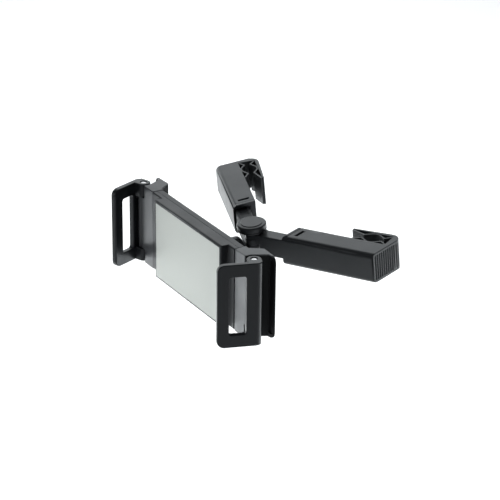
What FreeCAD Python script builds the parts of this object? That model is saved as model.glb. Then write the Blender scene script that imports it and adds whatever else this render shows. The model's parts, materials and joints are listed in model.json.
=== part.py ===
"""Headrest tablet mount: two telescoping arms in a V that grip the headrest posts, a hub and ball joint,
and a cradle with a fixed jaw, a sprung sliding jaw and two folding hooks. Millimetres.

World frame: +Z up along the headrest posts, X along the cradle, -Y towards the passenger.
The origin is the centre of arm 1's post grip."""
import FreeCAD, Part
import Sketcher
import math
import os

document = FreeCAD.newDocument("headrest_tablet_mount")
sheet = document.addObject("Spreadsheet::Sheet", "Sizes")

# Driving dimensions, in millimetres and degrees. Along an arm, distances count from the hub's axis.
# Across an arm, they count from the bar's axis, positive towards the inside of the V.
SIZES = (
    ("arm_height", 24.5, "arm housing, top to bottom"),
    ("arm_near_end", 32.8, "hub axis to the housing's mouth on the bar's axis, with arm 2 as shown"),
    ("arm_far_end", 111.4, "hub axis to the ribbed end wall, on the bar's axis"),
    ("arm_outer_side", 7.8, "bar axis to the housing's outer side"),
    ("arm_slant", 12.0, "slant of the mouth, the clip's slot and the ribbed end wall, degrees"),
    ("arm_edge_round", 4.0, "rounding of the long outer edges"),
    ("tongue_edge_round", 1.4, "rounding of the tongue's long edges"),
    ("arm_1_pull", 6.7, "how much further arm 1 is drawn out than arm 2"),
    ("arm_1_angle", 160.6, "arm 1 from +X, degrees"),
    ("arm_2_angle", 28.4, "arm 2 from +X, degrees"),
    ("mouth_rebate_depth", 1.6, "rebate round the tunnel's mouth, along the arm"),
    ("mouth_rebate_width", 0.8, "rebate round the tunnel's mouth, across"),
    ("mouth_line_place", 2.8, "mouth to the groove line round it"),
    ("mouth_line_width", 0.6, "groove line"),
    ("mouth_line_depth", 0.4, "groove line"),
    ("rib_groove_count", 12, "grooves in the end wall"),
    ("rib_groove_width", 1.1, "groove width"),
    ("rib_groove_depth", 0.7, "groove depth"),
    ("rib_margin", 2.2, "plain margin over and under the grooved field"),
    ("rib_field_inset", 2.2, "plain margin beside the grooved field, at the outer side"),
    ("rib_field_end", 6.4, "plain margin beside the grooved field, at the tongue"),
    ("grip_along", 96.6, "hub axis to the post's centre, arm 2"),
    ("grip_across", 18.2, "bar axis to the post's centre"),
    ("post_radius", 6.0, "headrest post"),
    ("lining_wall", 0.85, "lining behind the post"),
    ("lining_ribbon", 1.3, "lining where it stands free of the wall"),
    ("lining_drop", 0.3, "lining's edge below the housing's face"),
    ("tooth_offset", 8.5, "post centre to a tooth, along the arm"),
    ("tooth_gap", 1.75, "cell centre line to a tooth's tip"),
    ("tooth_round", 0.5, "rounding of a tooth's tip"),
    ("lining_foot", 1.25, "height of the lining's ends"),
    ("inner_lead_in", 81.5, "hub axis to the inner lining's near end"),
    ("cell_far_end", 110.2, "hub axis to the cell's far wall"),
    ("tongue_tip", 75.6, "hub axis to the tongue's tip"),
    ("tongue_tip_outer", 26.5, "bar axis to the outer face at the tip"),
    ("tongue_end_outer", 29.2, "bar axis to the outer face at the end wall"),
    ("tip_round", 0.8, "rounding of the tip's outer corner"),
    ("tip_setback", 0.3, "tongue's tip past the outer lining's near end"),
    ("end_corner_round", 1.8, "rounding of the arm's outer end corner"),
    ("tongue_corner_round", 7.0, "rounding of the end corner where the tongue turns back"),
    ("bar_width", 12.0, "neck bar, across"),
    ("bar_height", 16.1, "neck bar, top to bottom"),
    ("bar_edge_round", 1.2, "rounding of the bar's long edges"),
    ("bar_full_from", 9.6, "hub axis to the bar's full height"),
    ("bar_inner_end", 76.0, "hub axis to the bar's end inside the housing"),
    ("tunnel_clearance", 0.3, "bar to tunnel wall"),
    ("tunnel_end", 104.0, "hub axis to the tunnel's closed end"),
    ("clip_along", 40.9, "hub axis to the stop clip's middle on the bar's axis, arm 2"),
    ("clip_thickness", 2.0, "stop clip, along the arm"),
    ("clip_width", 8.8, "stop clip, across"),
    ("clip_centre", 2.8, "bar axis to the clip's middle"),
    ("clip_sink", 1.2, "clip's top below the housing's top"),
    ("clip_gap", 0.1, "clip to its slot"),
    ("track_depth", 1.0, "groove in the bar's top that the clip runs in"),
    ("track_width", 7.0, "groove width"),
    ("arm_travel_in", 10.0, "arm 2 pushed in from where it is shown"),
    ("arm_travel_out", 26.0, "arm 2 drawn out from where it is shown"),
    ("knuckle_radius", 6.0, "hinge knuckles and the stud's eye"),
    ("knuckle_height", 5.2, "each of the three stacked knuckles"),
    ("knuckle_gap", 0.25, "between stacked knuckles"),
    ("hub_bolt_radius", 2.5, "hub bolt's shank"),
    ("bore_clearance", 0.05, "radial running clearance on pins and bolts"),
    ("bolt_head_radius", 5.0, "hub bolt's head"),
    ("bolt_head_height", 3.4, "hub bolt's head"),
    ("bolt_socket_flats", 4.0, "hexagon socket across flats"),
    ("bolt_socket_depth", 2.0, "hexagon socket depth"),
    ("nut_flats", 8.0, "hub nut across flats"),
    ("nut_height", 3.4, "hub nut"),
    ("lower_washer_height", 0.6, "washer under the stud's eye"),
    ("lower_washer_radius", 6.0, "washer under the stud's eye"),
    ("upper_washer_height", 1.4, "washer on the top knuckle"),
    ("upper_washer_radius", 8.4, "washer on the top knuckle"),
    ("stack_gap", 0.1, "between washers and their neighbours"),
    ("cap_radius", 11.6, "round cap over the hub"),
    ("cap_height", 6.0, "round cap"),
    ("cap_edge_round", 1.2, "cap's top edge"),
    ("cap_disc_radius", 8.5, "raised disc on the cap"),
    ("cap_disc_height", 0.5, "raised disc on the cap"),
    ("cap_line_height", 1.1, "groove line above the cap's lower edge"),
    ("cap_line_width", 0.5, "groove line"),
    ("cap_line_depth", 0.4, "groove line"),
    ("cap_wall", 1.6, "cap's top over the nut"),
    ("cap_nut_gap", 0.6, "nut's corners to the cap's hollow"),
    ("ball_forward", 20.3, "hub axis to the ball's centre"),
    ("ball_drop", 4.3, "ball's centre below the arms' mid height"),
    ("ball_radius", 7.5, "ball"),
    ("stem_radius", 3.6, "ball's stem"),
    ("stem_from", 8.0, "hub axis to the start of the round stem"),
    ("eye_web_width", 8.0, "flat web between the eye and the stem"),
    ("seat_wall", 0.55, "ball seat liners"),
    ("seat_clearance", 0.05, "ball to seat and seat to socket"),
    ("cup_wall", 1.45, "socket cup's wall at the ball's equator"),
    ("cup_flange_radius", 15.0, "socket's round flange"),
    ("cup_flange_height", 2.5, "socket's round flange"),
    ("cup_foot_round", 2.0, "fillet between the cup and its flange"),
    ("front_seat_from", 25.0, "front seat's inner edge, degrees from the cradle's axis"),
    ("front_seat_to", 75.0, "front seat's outer edge, degrees from the cradle's axis"),
    ("rear_seat_from", 100.0, "rear seat's front edge, degrees from the cradle's axis"),
    ("rear_seat_to", 116.0, "rear seat's rear edge, degrees from the cradle's axis"),
    ("thread_clearance", 0.1, "cup to collar nut"),
    ("collar_radius", 11.5, "collar nut"),
    ("collar_front", 5.5, "ball centre to the nut's front face"),
    ("collar_back", 8.0, "ball centre to the nut's rear face"),
    ("collar_mouth", 5.8, "hole that the stem swings in"),
    ("collar_flare", 2.0, "widening of that hole at the rear face"),
    ("collar_flare_from", 5.9, "ball centre to the start of the widening"),
    ("collar_shelf", 0.2, "ball centre to the shelf inside the nut"),
    ("collar_chamfer", 0.8, "nut's outer edges"),
    ("knurl_count", 24, "grooves round the nut"),
    ("knurl_depth", 0.7, "groove depth"),
    ("knurl_width", 1.5, "groove's cutter, width at its outer end"),
    ("knurl_past", 0.5, "nut's radius to the cutter's outer end"),
    ("cradle_tilt", 6.63, "cradle leaning back about X, degrees"),
    ("cradle_roll", 0.88, "cradle turned about Y, degrees"),
    ("ball_behind_front", 39.0, "cradle's front face to the ball's centre"),
    ("front_half_length", 52.0, "raised front, half"),
    ("front_corner_round", 1.6, "raised front's upright edges"),
    ("front_edge_round", 1.8, "raised front's long edges"),
    ("cradle_rail_height", 6.9, "slide plate's edge to the housing's edge"),
    ("cradle_left_end", 67.4, "centre to the fixed jaw's seam"),
    ("cradle_right_end", 61.0, "centre to the sliding jaw's seam"),
    ("shoulder_depth", 6.5, "front face back to the shoulders and jaw fronts"),
    ("seam_depth", 10.4, "front face back to the housing's seam"),
    ("cradle_depth", 16.5, "front face back to the rear cover's face"),
    ("cover_edge_round", 2.0, "rear cover's long edges"),
    ("panel_half_length", 50.0, "silver panel, half"),
    ("panel_border", 2.0, "housing's long edges to the silver panel"),
    ("panel_thickness", 1.2, "silver panel"),
    ("panel_corner_round", 0.9, "silver panel's corners"),
    ("panel_gap", 0.1, "panel to the rim of its recess"),
    ("slide_front", 8.4, "front face back to the slide plate"),
    ("slide_back", 14.0, "front face back to the slide plate's rear"),
    ("slide_half_height", 26.0, "slide plate, half"),
    ("slide_inner_end", 12.0, "centre to the slide plate's end, on the left"),
    ("slide_clearance", 0.2, "slide plate to its channel"),
    ("channel_left_end", 46.0, "centre to the channel's closed end"),
    ("tenon_length", 7.4, "fixed jaw's tenon in the housing"),
    ("spring_radius", 2.6, "jaw springs"),
    ("spring_wire", 0.8, "wall of the spring's coil"),
    ("spring_height", 14.0, "spring's axis above and below the centre"),
    ("spring_slot_half", 3.2, "slot for a spring in the slide plate, half"),
    ("spring_slot_end", 40.0, "centre to the slots' closed ends"),
    ("spring_post_radius", 1.5, "posts that hold the springs"),
    ("spring_post_place", 42.0, "centre to the spring posts"),
    ("screw_radius", 1.1, "cover screws' shanks"),
    ("screw_head_radius", 2.0, "cover screws' heads"),
    ("screw_gap", 0.05, "screw to its hole"),
    ("screw_head_height", 1.4, "cover screws' heads"),
    ("screw_length", 9.0, "cover screws below the head"),
    ("screw_land", 3.6, "slide plate's edge to the screws, across the cradle"),
    ("screw_place", 46.0, "centre to the screws, along the cradle"),
    ("jaw_overhang", 0.3, "jaws and hooks past the housing's long edges"),
    ("left_pin_place", 89.5, "centre to the left hook's pin"),
    ("right_pin_place", 84.1, "centre to the right hook's pin"),
    ("pin_depth", 9.9, "front face back to the hook pins"),
    ("pin_radius", 2.5, "hook pins"),
    ("pin_sink", 1.0, "pin's end below the hook's top"),
    ("jaw_front_end", 7.1, "pin to the end of the jaw's front face"),
    ("jaw_notch_depth", 11.5, "front face back to the bottom of the notch beside the hook"),
    ("flange_root", 1.1, "pin inward to the flange's front edge"),
    ("flange_root_depth", 23.0, "front face back to the flange's front edge"),
    ("flange_reach", 6.4, "pin outward to the flange's tip"),
    ("flange_tip_front", 24.1, "front face back to the tip's front"),
    ("flange_tip_back", 25.2, "front face back to the tip's rear"),
    ("flange_back_depth", 26.0, "front face back to the flange's rear corner"),
    ("flange_inner", 12.5, "pin inward to the flange's rear corner"),
    ("flange_foot", 19.0, "pin inward to the flange's foot on the jaw"),
    ("flange_corner_round", 5.0, "flange's outer corners"),
    ("cup_rim", 1.8, "rim round the flange's hollow"),
    ("cup_floor", 0.8, "wall behind the flange's hollow"),
    ("cup_end_rim", 3.6, "rim at the hollow's upper and lower end"),
    ("cup_inner_rim", 0.6, "rim at the hollow's inner side"),
    ("flange_back_round", 2.0, "flange's rear corner"),
    ("jaw_edge_round", 1.0, "jaw's small roundings"),
    ("barrel_radius", 4.2, "jaw's middle barrel"),
    ("knuckle_length", 11.0, "hook's upper and lower knuckles"),
    ("hinge_gap", 0.2, "knuckle to barrel"),
    ("hook_knuckle_radius", 5.5, "hook's knuckles"),
    ("hook_outer_offset", 9.2, "pin to the hook's outer face"),
    ("hook_thickness", 4.6, "hook frame"),
    ("hook_reach", 29.2, "pin to the hook's free end"),
    ("hook_back", 5.0, "pin back to the hook's rear edge"),
    ("hook_back_round", 4.4, "hook's rear outer edge"),
    ("hook_end_round", 1.2, "free end's upright edges"),
    ("hook_corner_round", 6.0, "free end's corners"),
    ("hook_window_near", 7.2, "pin to the window's near side"),
    ("hook_window_far", 20.1, "pin to the window's far side"),
    ("hook_window_half", 23.1, "window, half height"),
    ("hook_window_round", 2.2, "window's corners"),
    ("left_hook_lean", 22.5, "left hook leaning inward, degrees"),
    ("right_hook_lean", 18.0, "right hook leaning inward, degrees"),
)

for row, (alias, amount, note) in enumerate(SIZES, start=1):
    sheet.set(f"A{row}", note)
    sheet.set(f"B{row}", str(amount))
    sheet.setAlias(f"B{row}", alias)
document.recompute()


class Size:
    """A length with the sheet expression that gives it, so that sketches stay bound to the sheet."""

    def __init__(self, amount, text):
        self.amount = float(amount)
        self.text = text

    def __add__(self, other):
        return Size(self.amount + size(other).amount, f"({self.text} + {size(other).text})")

    def __radd__(self, other):
        return size(other) + self

    def __sub__(self, other):
        return Size(self.amount - size(other).amount, f"({self.text} - {size(other).text})")

    def __rsub__(self, other):
        return size(other) - self

    def __mul__(self, other):
        return Size(self.amount * size(other).amount, f"({self.text} * {size(other).text})")

    def __rmul__(self, other):
        return size(other) * self

    def __truediv__(self, other):
        return Size(self.amount / size(other).amount, f"({self.text} / {size(other).text})")

    def __neg__(self):
        return Size(-self.amount, f"(-{self.text})")


def size(thing):
    """Any number as a Size."""
    return thing if isinstance(thing, Size) else Size(thing, f"({float(thing):.9f})")


class Sheet:
    """The sheet's cells by name, as sizes."""

    def __getattr__(self, alias):
        return Size(sheet.get(alias), f"Sizes.{alias}")


cell = Sheet()


def degrees(angle):
    """A sheet angle in radians, as a plain number."""
    return math.radians(angle.amount)


def bind(thing, path, amount):
    """Bind one property of an object to the sheet."""
    thing.setExpression(path, size(amount).text)


def new_body(label):
    """An empty body that is named after the piece it makes."""
    body = document.addObject("PartDesign::Body", label)
    body.Label = label
    return body


def origin_feature(body, role):
    """One of the body's own planes or axes."""
    return [feature for feature in body.Origin.OriginFeatures if feature.Role == role][0]


def attach(body, thing, role, offset):
    """Attach a sketch to one of the body's own planes, at a distance along its normal."""
    thing.AttachmentSupport = [(origin_feature(body, role), "")]
    thing.MapMode = "FlatFace"
    bind(thing, "AttachmentOffset.Base.z", offset)


def fix_point(sketch, target, place):
    """Dimension a sketch point from the sketch's origin."""
    for kind, amount in (("DistanceX", place[0]), ("DistanceY", place[1])):
        index = sketch.addConstraint(Sketcher.Constraint(kind, -1, 1, target[0], target[1], amount.amount))
        bind(sketch, f"Constraints[{index}]", amount)


def add_loop(sketch, corners):
    """A closed outline of straight lines. A corner is x, y and, where it is rounded, a radius."""
    places = [(size(corner[0]), size(corner[1])) for corner in corners]
    rounds = [size(corner[2]) if len(corner) > 2 else None for corner in corners]
    points = [FreeCAD.Vector(x.amount, y.amount, 0) for x, y in places]
    count = len(points)
    ends = []
    starts = []
    for index, here in enumerate(points):
        to_back = (points[index - 1] - here).normalize()
        to_ahead = (points[(index + 1) % count] - here).normalize()
        reach = rounds[index].amount / math.tan(to_back.getAngle(to_ahead) / 2) if rounds[index] else 0.0
        ends.append(here + to_back * reach)
        starts.append(here + to_ahead * reach)
    lines = []
    for index in range(count):
        lines.append(sketch.addGeometry(Part.LineSegment(starts[index], ends[(index + 1) % count]), False))
    for index, here in enumerate(points):
        before = lines[index - 1]
        after = lines[index]
        if rounds[index] is None:
            sketch.addConstraint(Sketcher.Constraint("Coincident", before, 2, after, 1))
            fix_point(sketch, (after, 1), places[index])
            continue
        radius = rounds[index].amount
        to_back = (ends[index] - here).normalize()
        to_ahead = (starts[index] - here).normalize()
        inward = (to_back + to_ahead).normalize()
        centre = here + inward * (radius / math.sin(to_back.getAngle(to_ahead) / 2))
        arc = sketch.addGeometry(Part.Arc(ends[index], centre - inward * radius, starts[index]), False)
        forward = (ends[index] - centre).cross(starts[index] - centre).z > 0
        sketch.addConstraint(Sketcher.Constraint("Tangent", before, 2, arc, 1 if forward else 2))
        sketch.addConstraint(Sketcher.Constraint("Tangent", after, 1, arc, 2 if forward else 1))
        corner = sketch.addGeometry(Part.Point(here), True)
        sketch.addConstraint(Sketcher.Constraint("PointOnObject", corner, 1, before))
        sketch.addConstraint(Sketcher.Constraint("PointOnObject", corner, 1, after))
        fixed = sketch.addConstraint(Sketcher.Constraint("Radius", arc, radius))
        bind(sketch, f"Constraints[{fixed}]", rounds[index])
        fix_point(sketch, (corner, 1), places[index])


def add_circle(sketch, place, radius):
    """A dimensioned circle."""
    x, y, radius = size(place[0]), size(place[1]), size(radius)
    centre = FreeCAD.Vector(x.amount, y.amount, 0)
    circle = sketch.addGeometry(Part.Circle(centre, FreeCAD.Vector(0, 0, 1), radius.amount), False)
    fixed = sketch.addConstraint(Sketcher.Constraint("Radius", circle, radius.amount))
    bind(sketch, f"Constraints[{fixed}]", radius)
    fix_point(sketch, (circle, 3), (x, y))


def new_sketch(body, role, offset):
    """An empty sketch on one of the body's planes."""
    sketch = body.newObject("Sketcher::SketchObject", f"{body.Name}_sketch")
    attach(body, sketch, role, offset)
    return sketch


def extrude(body, role, low, high, loops=(), circles=(), cut=False):
    """Pad or pocket closed outlines between two heights along the plane's world axis.
    The normal of the XZ plane points to -Y, so its offsets change sign."""
    low = size(low)
    high = size(high)
    if role == "XZ_Plane":
        offset = -low if cut else -high
    else:
        offset = high if cut else low
    sketch = new_sketch(body, role, offset)
    for loop in loops:
        add_loop(sketch, loop)
    for place, radius in circles:
        add_circle(sketch, place, radius)
    kind = "PartDesign::Pocket" if cut else "PartDesign::Pad"
    feature = body.newObject(kind, f"{body.Name}_{'pocket' if cut else 'pad'}")
    feature.Profile = sketch
    bind(feature, "Length", high - low)
    return feature


def turn(body, role, loop, cut=False):
    """Turn an outline a full circle about the sketch's vertical axis."""
    sketch = new_sketch(body, role, 0.0)
    add_loop(sketch, loop)
    kind = "PartDesign::Groove" if cut else "PartDesign::Revolution"
    feature = body.newObject(kind, f"{body.Name}_turned")
    feature.Profile = sketch
    feature.ReferenceAxis = (sketch, ["V_Axis"])
    feature.Angle = 360
    return feature


def box_loop(x_low, x_high, y_low, y_high, *rounding):
    """A rectangle, with its corners rounded where a radius is given."""
    return [(x_low, y_low, *rounding), (x_high, y_low, *rounding), (x_high, y_high, *rounding),
            (x_low, y_high, *rounding)]


def corner_loop(x, y, x_way, y_way, radius):
    """What is cut away to round an outside corner at (x, y). The ways point out of the solid."""
    inner_x = x - x_way * (radius + OVER)
    inner_y = y - y_way * (radius + OVER)
    outer_x = x + x_way * OVER
    outer_y = y + y_way * OVER
    return [(outer_x, outer_y), (inner_x, outer_y), (inner_x, y), (x, y, radius), (x, inner_y),
            (outer_x, inner_y)]


def hexagon_loop(across_flats):
    """A hexagon about the origin."""
    corner_reach = across_flats / math.sqrt(3)
    return [(corner_reach * math.cos(turn), corner_reach * math.sin(turn))
            for turn in (math.radians(60 * step) for step in range(6))]


def polar(origin, angle, along, across):
    """A point of an arm in the world's plane, from the arm's own lengths."""
    return FreeCAD.Vector(origin.x + along * math.cos(angle) - across * math.sin(angle),
                          origin.y + along * math.sin(angle) + across * math.cos(angle), origin.z)


# Places that several pieces share.
arm_1_direction = degrees(cell.arm_1_angle)
arm_2_direction = degrees(cell.arm_2_angle)
grip_from_hub = polar(FreeCAD.Vector(), arm_1_direction, (cell.grip_along + cell.arm_1_pull).amount,
                      -cell.grip_across.amount)
hub = -grip_from_hub
Z_AXIS = FreeCAD.Vector(0, 0, 1)
hub_placement = FreeCAD.Placement(hub, FreeCAD.Rotation())
cradle_turn = FreeCAD.Rotation(FreeCAD.Vector(1, 0, 0), -cell.cradle_tilt.amount).multiply(
    FreeCAD.Rotation(FreeCAD.Vector(0, 1, 0), -cell.cradle_roll.amount))
ball_centre = hub + FreeCAD.Vector(0, -cell.ball_forward.amount, -cell.ball_drop.amount)
ball_placement = FreeCAD.Placement(ball_centre, cradle_turn)
cradle_placement = ball_placement.multiply(
    FreeCAD.Placement(FreeCAD.Vector(0, -cell.ball_behind_front.amount, 0), FreeCAD.Rotation()))

# How far a cut or a join runs past the face it starts from.
OVER = 1.0
half_arm = cell.arm_height / 2
cell_half = cell.post_radius + cell.lining_wall
bar_side_face = cell.grip_across - cell_half
tunnel_half_width = cell.bar_width / 2 + cell.tunnel_clearance
tunnel_half_height = cell.bar_height / 2 + cell.tunnel_clearance
cradle_half_height = cell.slide_half_height + cell.cradle_rail_height
panel_half_height = cradle_half_height - cell.panel_border
jaw_half_height = cradle_half_height + cell.jaw_overhang


def slanted(along, across):
    """Distance along the arm at which a slanted feature stands, from where it crosses the bar's axis."""
    return along + across * math.tan(degrees(cell.arm_slant))


def end_face(across):
    """Distance along the arm to the slanted end wall."""
    return slanted(cell.arm_far_end, across)


def slanted_loop(low, high, across_low, across_high, side):
    """A strip across the arm that follows the slant."""
    return [(slanted(low, across_low), side * across_low), (slanted(high, across_low), side * across_low),
            (slanted(high, across_high), side * across_high), (slanted(low, across_high), side * across_high)]


def make_arm_housing(label, side):
    """One moulding: a box round the neck bar whose far end turns back as a thin tongue. The headrest post
    goes in past the tongue's tip. The end wall is grooved and the long outer edges are rounded."""
    body = new_body(label)
    near = cell.arm_near_end
    tongue_inner = cell.grip_across + cell_half
    outline = [
        (slanted(near, -cell.arm_outer_side), -cell.arm_outer_side),
        (end_face(-cell.arm_outer_side), -cell.arm_outer_side, cell.end_corner_round),
        (end_face(cell.tongue_end_outer), cell.tongue_end_outer, cell.tongue_corner_round),
        (cell.tongue_tip, cell.tongue_tip_outer, cell.tip_round),
        (cell.tongue_tip, tongue_inner),
        (cell.cell_far_end, tongue_inner),
        (cell.cell_far_end, bar_side_face),
        (slanted(near, bar_side_face), bar_side_face),
    ]
    extrude(body, "XY_Plane", -half_arm, half_arm, [[(corner[0], side * corner[1], *corner[2:])
                                                    for corner in outline]])
    before_mouth = slanted(near, -cell.arm_outer_side) - OVER
    past_end = end_face(cell.tongue_end_outer) + OVER
    for across, way, radius in ((-cell.arm_outer_side, -side, cell.arm_edge_round),
                                (cell.tongue_end_outer, side, cell.tongue_edge_round)):
        extrude(body, "YZ_Plane", before_mouth, past_end, [
            corner_loop(side * across, level * half_arm, way, level, radius) for level in (-1, 1)], cut=True)
    extrude(body, "YZ_Plane", before_mouth, cell.tunnel_end, [
        box_loop(-tunnel_half_width, tunnel_half_width, -tunnel_half_height, tunnel_half_height)], cut=True)
    mouth_width = tunnel_half_width + cell.mouth_rebate_width
    mouth_height = tunnel_half_height + cell.mouth_rebate_width
    extrude(body, "XY_Plane", -mouth_height, mouth_height, [
        slanted_loop(near - OVER, near + cell.mouth_rebate_depth, -mouth_width, mouth_width, side)], cut=True)
    line_near = near + cell.mouth_line_place
    line_loop = slanted_loop(line_near, line_near + cell.mouth_line_width, -cell.arm_outer_side - OVER,
                             bar_side_face + OVER, side)
    line_floor = half_arm - cell.mouth_line_depth
    for low, high in ((line_floor, half_arm), (-half_arm, -line_floor)):
        extrude(body, "XY_Plane", low, high, [line_loop], cut=True)
    slot_half = cell.clip_thickness / 2 + cell.clip_gap
    slot_reach = cell.clip_width / 2 + cell.clip_gap
    extrude(body, "XY_Plane", tunnel_half_height, half_arm, [
        slanted_loop(cell.clip_along - slot_half, cell.clip_along + slot_half,
                     cell.clip_centre - slot_reach, cell.clip_centre + slot_reach, side)], cut=True)
    cut_rib_grooves(body, side)
    body.Placement = arm_placement(side)
    return body


def cut_rib_grooves(body, side):
    """Upright grooves across the slanted end wall, between its rounded corners."""
    count = round(cell.rib_groove_count.amount)
    field_start = -cell.arm_outer_side + cell.rib_field_inset
    field_end = cell.tongue_end_outer - cell.rib_field_end
    pitch = (field_end - field_start) / count
    loops = []
    for index in range(count):
        middle = field_start + pitch * (index + 0.5)
        low = middle - cell.rib_groove_width / 2
        high = middle + cell.rib_groove_width / 2
        loops.append([
            (end_face(low) - cell.rib_groove_depth, side * low),
            (end_face(low) + OVER, side * low),
            (end_face(high) + OVER, side * high),
            (end_face(high) - cell.rib_groove_depth, side * high),
        ])
    extrude(body, "XY_Plane", -half_arm + cell.rib_margin, half_arm - cell.rib_margin, loops, cut=True)


def arm_placement(side):
    """Where an arm's moulding stands: arm 2 for side 1, arm 1 for side -1."""
    angle = arm_2_direction if side > 0 else arm_1_direction
    pull = 0.0 if side > 0 else cell.arm_1_pull.amount
    return FreeCAD.Placement(polar(hub, angle, pull, 0), FreeCAD.Rotation(Z_AXIS, math.degrees(angle)))


def make_lining(label, side, way, near_end):
    """Soft zigzag ribbon against one wall of the cell: a lead-in, two teeth and a round valley for the post.
    Triangular pockets stay open behind the teeth, which give way when the post is pushed in."""
    body = new_body(label)
    tooth = cell.tooth_offset
    gap = cell.tooth_gap
    tooth_reach = math.hypot(tooth.amount, gap.amount)
    valley_angle = math.atan2(gap.amount, tooth.amount) + math.acos(cell.post_radius.amount / tooth_reach)
    valley_corner = cell.post_radius / math.sin(valley_angle)
    back = gap + cell.lining_ribbon / math.sin(valley_angle)
    seat_half = tooth - (cell_half - back) * math.tan(valley_angle)
    foot = cell_half - cell.lining_foot
    far = cell.cell_far_end - cell.grip_along
    near = cell.grip_along - near_end
    far_back = tooth + (cell_half - back) * (far - tooth) / (foot - gap)
    near_back = tooth + (cell_half - back) * (near - tooth) / (foot - gap)
    ribbon = [
        (-near, foot),
        (-tooth, gap, cell.tooth_round),
        (0, valley_corner, cell.post_radius),
        (tooth, gap, cell.tooth_round),
        (far, foot),
        (far, cell_half),
        (far_back, cell_half),
        (tooth, back),
        (seat_half, cell_half),
        (-seat_half, cell_half),
        (-tooth, back),
        (-near_back, cell_half),
        (-near, cell_half),
    ]
    outline = [(cell.grip_along + corner[0], side * (cell.grip_across + way * corner[1]), *corner[2:])
               for corner in ribbon]
    half = half_arm - cell.lining_drop
    extrude(body, "XY_Plane", -half, half, [outline])
    body.Placement = arm_placement(side)
    return body


def make_stop_clip(label, side):
    """Clip pressed into the slot over the tunnel. Its tab runs in the bar's track and stops the bar."""
    body = new_body(label)
    half = cell.clip_thickness / 2
    low_across = cell.clip_centre - cell.clip_width / 2
    high_across = cell.clip_centre + cell.clip_width / 2
    near = cell.clip_along - half
    far = cell.clip_along + half
    extrude(body, "XY_Plane", tunnel_half_height, half_arm - cell.clip_sink, [
        slanted_loop(near, far, low_across, high_across, side)])
    tab_bottom = cell.bar_height / 2 - cell.track_depth + cell.tunnel_clearance
    extrude(body, "XY_Plane", tab_bottom, tunnel_half_height, [
        slanted_loop(near, far, low_across, cell.track_width / 2 - cell.tunnel_clearance, side)])
    body.Placement = arm_placement(side)
    return body


def knuckle_levels(place):
    """Lower and upper face of a knuckle in the hub's stack, counted from the bottom."""
    low = -cell.bar_height / 2 + place * (cell.knuckle_height + cell.knuckle_gap)
    return low, low + cell.knuckle_height


def make_neck(label, side, place):
    """Bar that slides in the arm, with a knuckle on the hub bolt. Near the hub only the knuckle's own
    height is left, so that the stacked pieces pass each other."""
    body = new_body(label)
    low, high = knuckle_levels(place)
    half_width = cell.bar_width / 2
    half_height = cell.bar_height / 2
    extrude(body, "XY_Plane", low, high, circles=[((0, 0), cell.knuckle_radius)])
    extrude(body, "XY_Plane", low, high, [box_loop(0, cell.bar_full_from + OVER, -half_width, half_width)])
    extrude(body, "YZ_Plane", cell.bar_full_from, cell.bar_inner_end, [
        box_loop(-half_width, half_width, -half_height, half_height, cell.bar_edge_round)])
    spare = cell.clip_thickness / 2 + cell.tunnel_clearance
    half_track = cell.track_width / 2
    track_start = slanted(cell.clip_along - cell.arm_travel_in - spare, -half_track)
    track_end = slanted(cell.clip_along + cell.arm_travel_out + spare, half_track)
    track = box_loop(track_start, track_end, -half_track, half_track)
    extrude(body, "XY_Plane", half_height - cell.track_depth, half_height, [track], cut=True)
    extrude(body, "XY_Plane", low - OVER, high + OVER,
            circles=[((0, 0), cell.hub_bolt_radius + cell.bore_clearance)], cut=True)
    angle = arm_2_direction if side > 0 else arm_1_direction
    body.Placement = FreeCAD.Placement(hub, FreeCAD.Rotation(Z_AXIS, math.degrees(angle)))
    return body


def make_ball_stud():
    """Turned and milled stud: an eye on the hub bolt, a flat web, a round stem and the ball."""
    body = new_body("ball_stud")
    low, high = knuckle_levels(0)
    web_half = cell.eye_web_width / 2
    extrude(body, "XY_Plane", low, high, circles=[((0, 0), cell.knuckle_radius)])
    extrude(body, "XY_Plane", low, high, [box_loop(-web_half, web_half, -cell.stem_from - OVER, 0)])
    extrude(body, "XZ_Plane", -cell.ball_forward, -cell.stem_from,
            circles=[((0, -cell.ball_drop), cell.stem_radius)])
    ball = body.newObject("PartDesign::AdditiveSphere", "ball")
    attach(body, ball, "XY_Plane", -cell.ball_drop)
    bind(ball, "AttachmentOffset.Base.y", -cell.ball_forward)
    bind(ball, "Radius", cell.ball_radius)
    extrude(body, "XY_Plane", low - OVER, high + OVER,
            circles=[((0, 0), cell.hub_bolt_radius + cell.bore_clearance)], cut=True)
    body.Placement = hub_placement
    return body


stack_bottom = -cell.bar_height / 2 - cell.stack_gap
stack_top = cell.bar_height / 2 + cell.stack_gap
upper_washer_top = stack_top + cell.upper_washer_height
lower_washer_bottom = stack_bottom - cell.lower_washer_height


def make_hub_bolt():
    """Socket-head bolt from below, through the washers and the three knuckles into the nut."""
    body = new_body("hub_bolt")
    head_bottom = lower_washer_bottom - cell.bolt_head_height
    extrude(body, "XY_Plane", head_bottom, lower_washer_bottom, circles=[((0, 0), cell.bolt_head_radius)])
    extrude(body, "XY_Plane", lower_washer_bottom, upper_washer_top + cell.nut_height,
            circles=[((0, 0), cell.hub_bolt_radius)])
    extrude(body, "XY_Plane", head_bottom, head_bottom + cell.bolt_socket_depth,
            [hexagon_loop(cell.bolt_socket_flats)], cut=True)
    body.Placement = hub_placement
    return body


def make_hub_nut():
    """Hexagon nut under the cap."""
    body = new_body("hub_nut")
    bore = cell.hub_bolt_radius + cell.bore_clearance
    extrude(body, "XY_Plane", upper_washer_top, upper_washer_top + cell.nut_height,
            [hexagon_loop(cell.nut_flats)], [((0, 0), bore)])
    body.Placement = hub_placement
    return body


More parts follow.
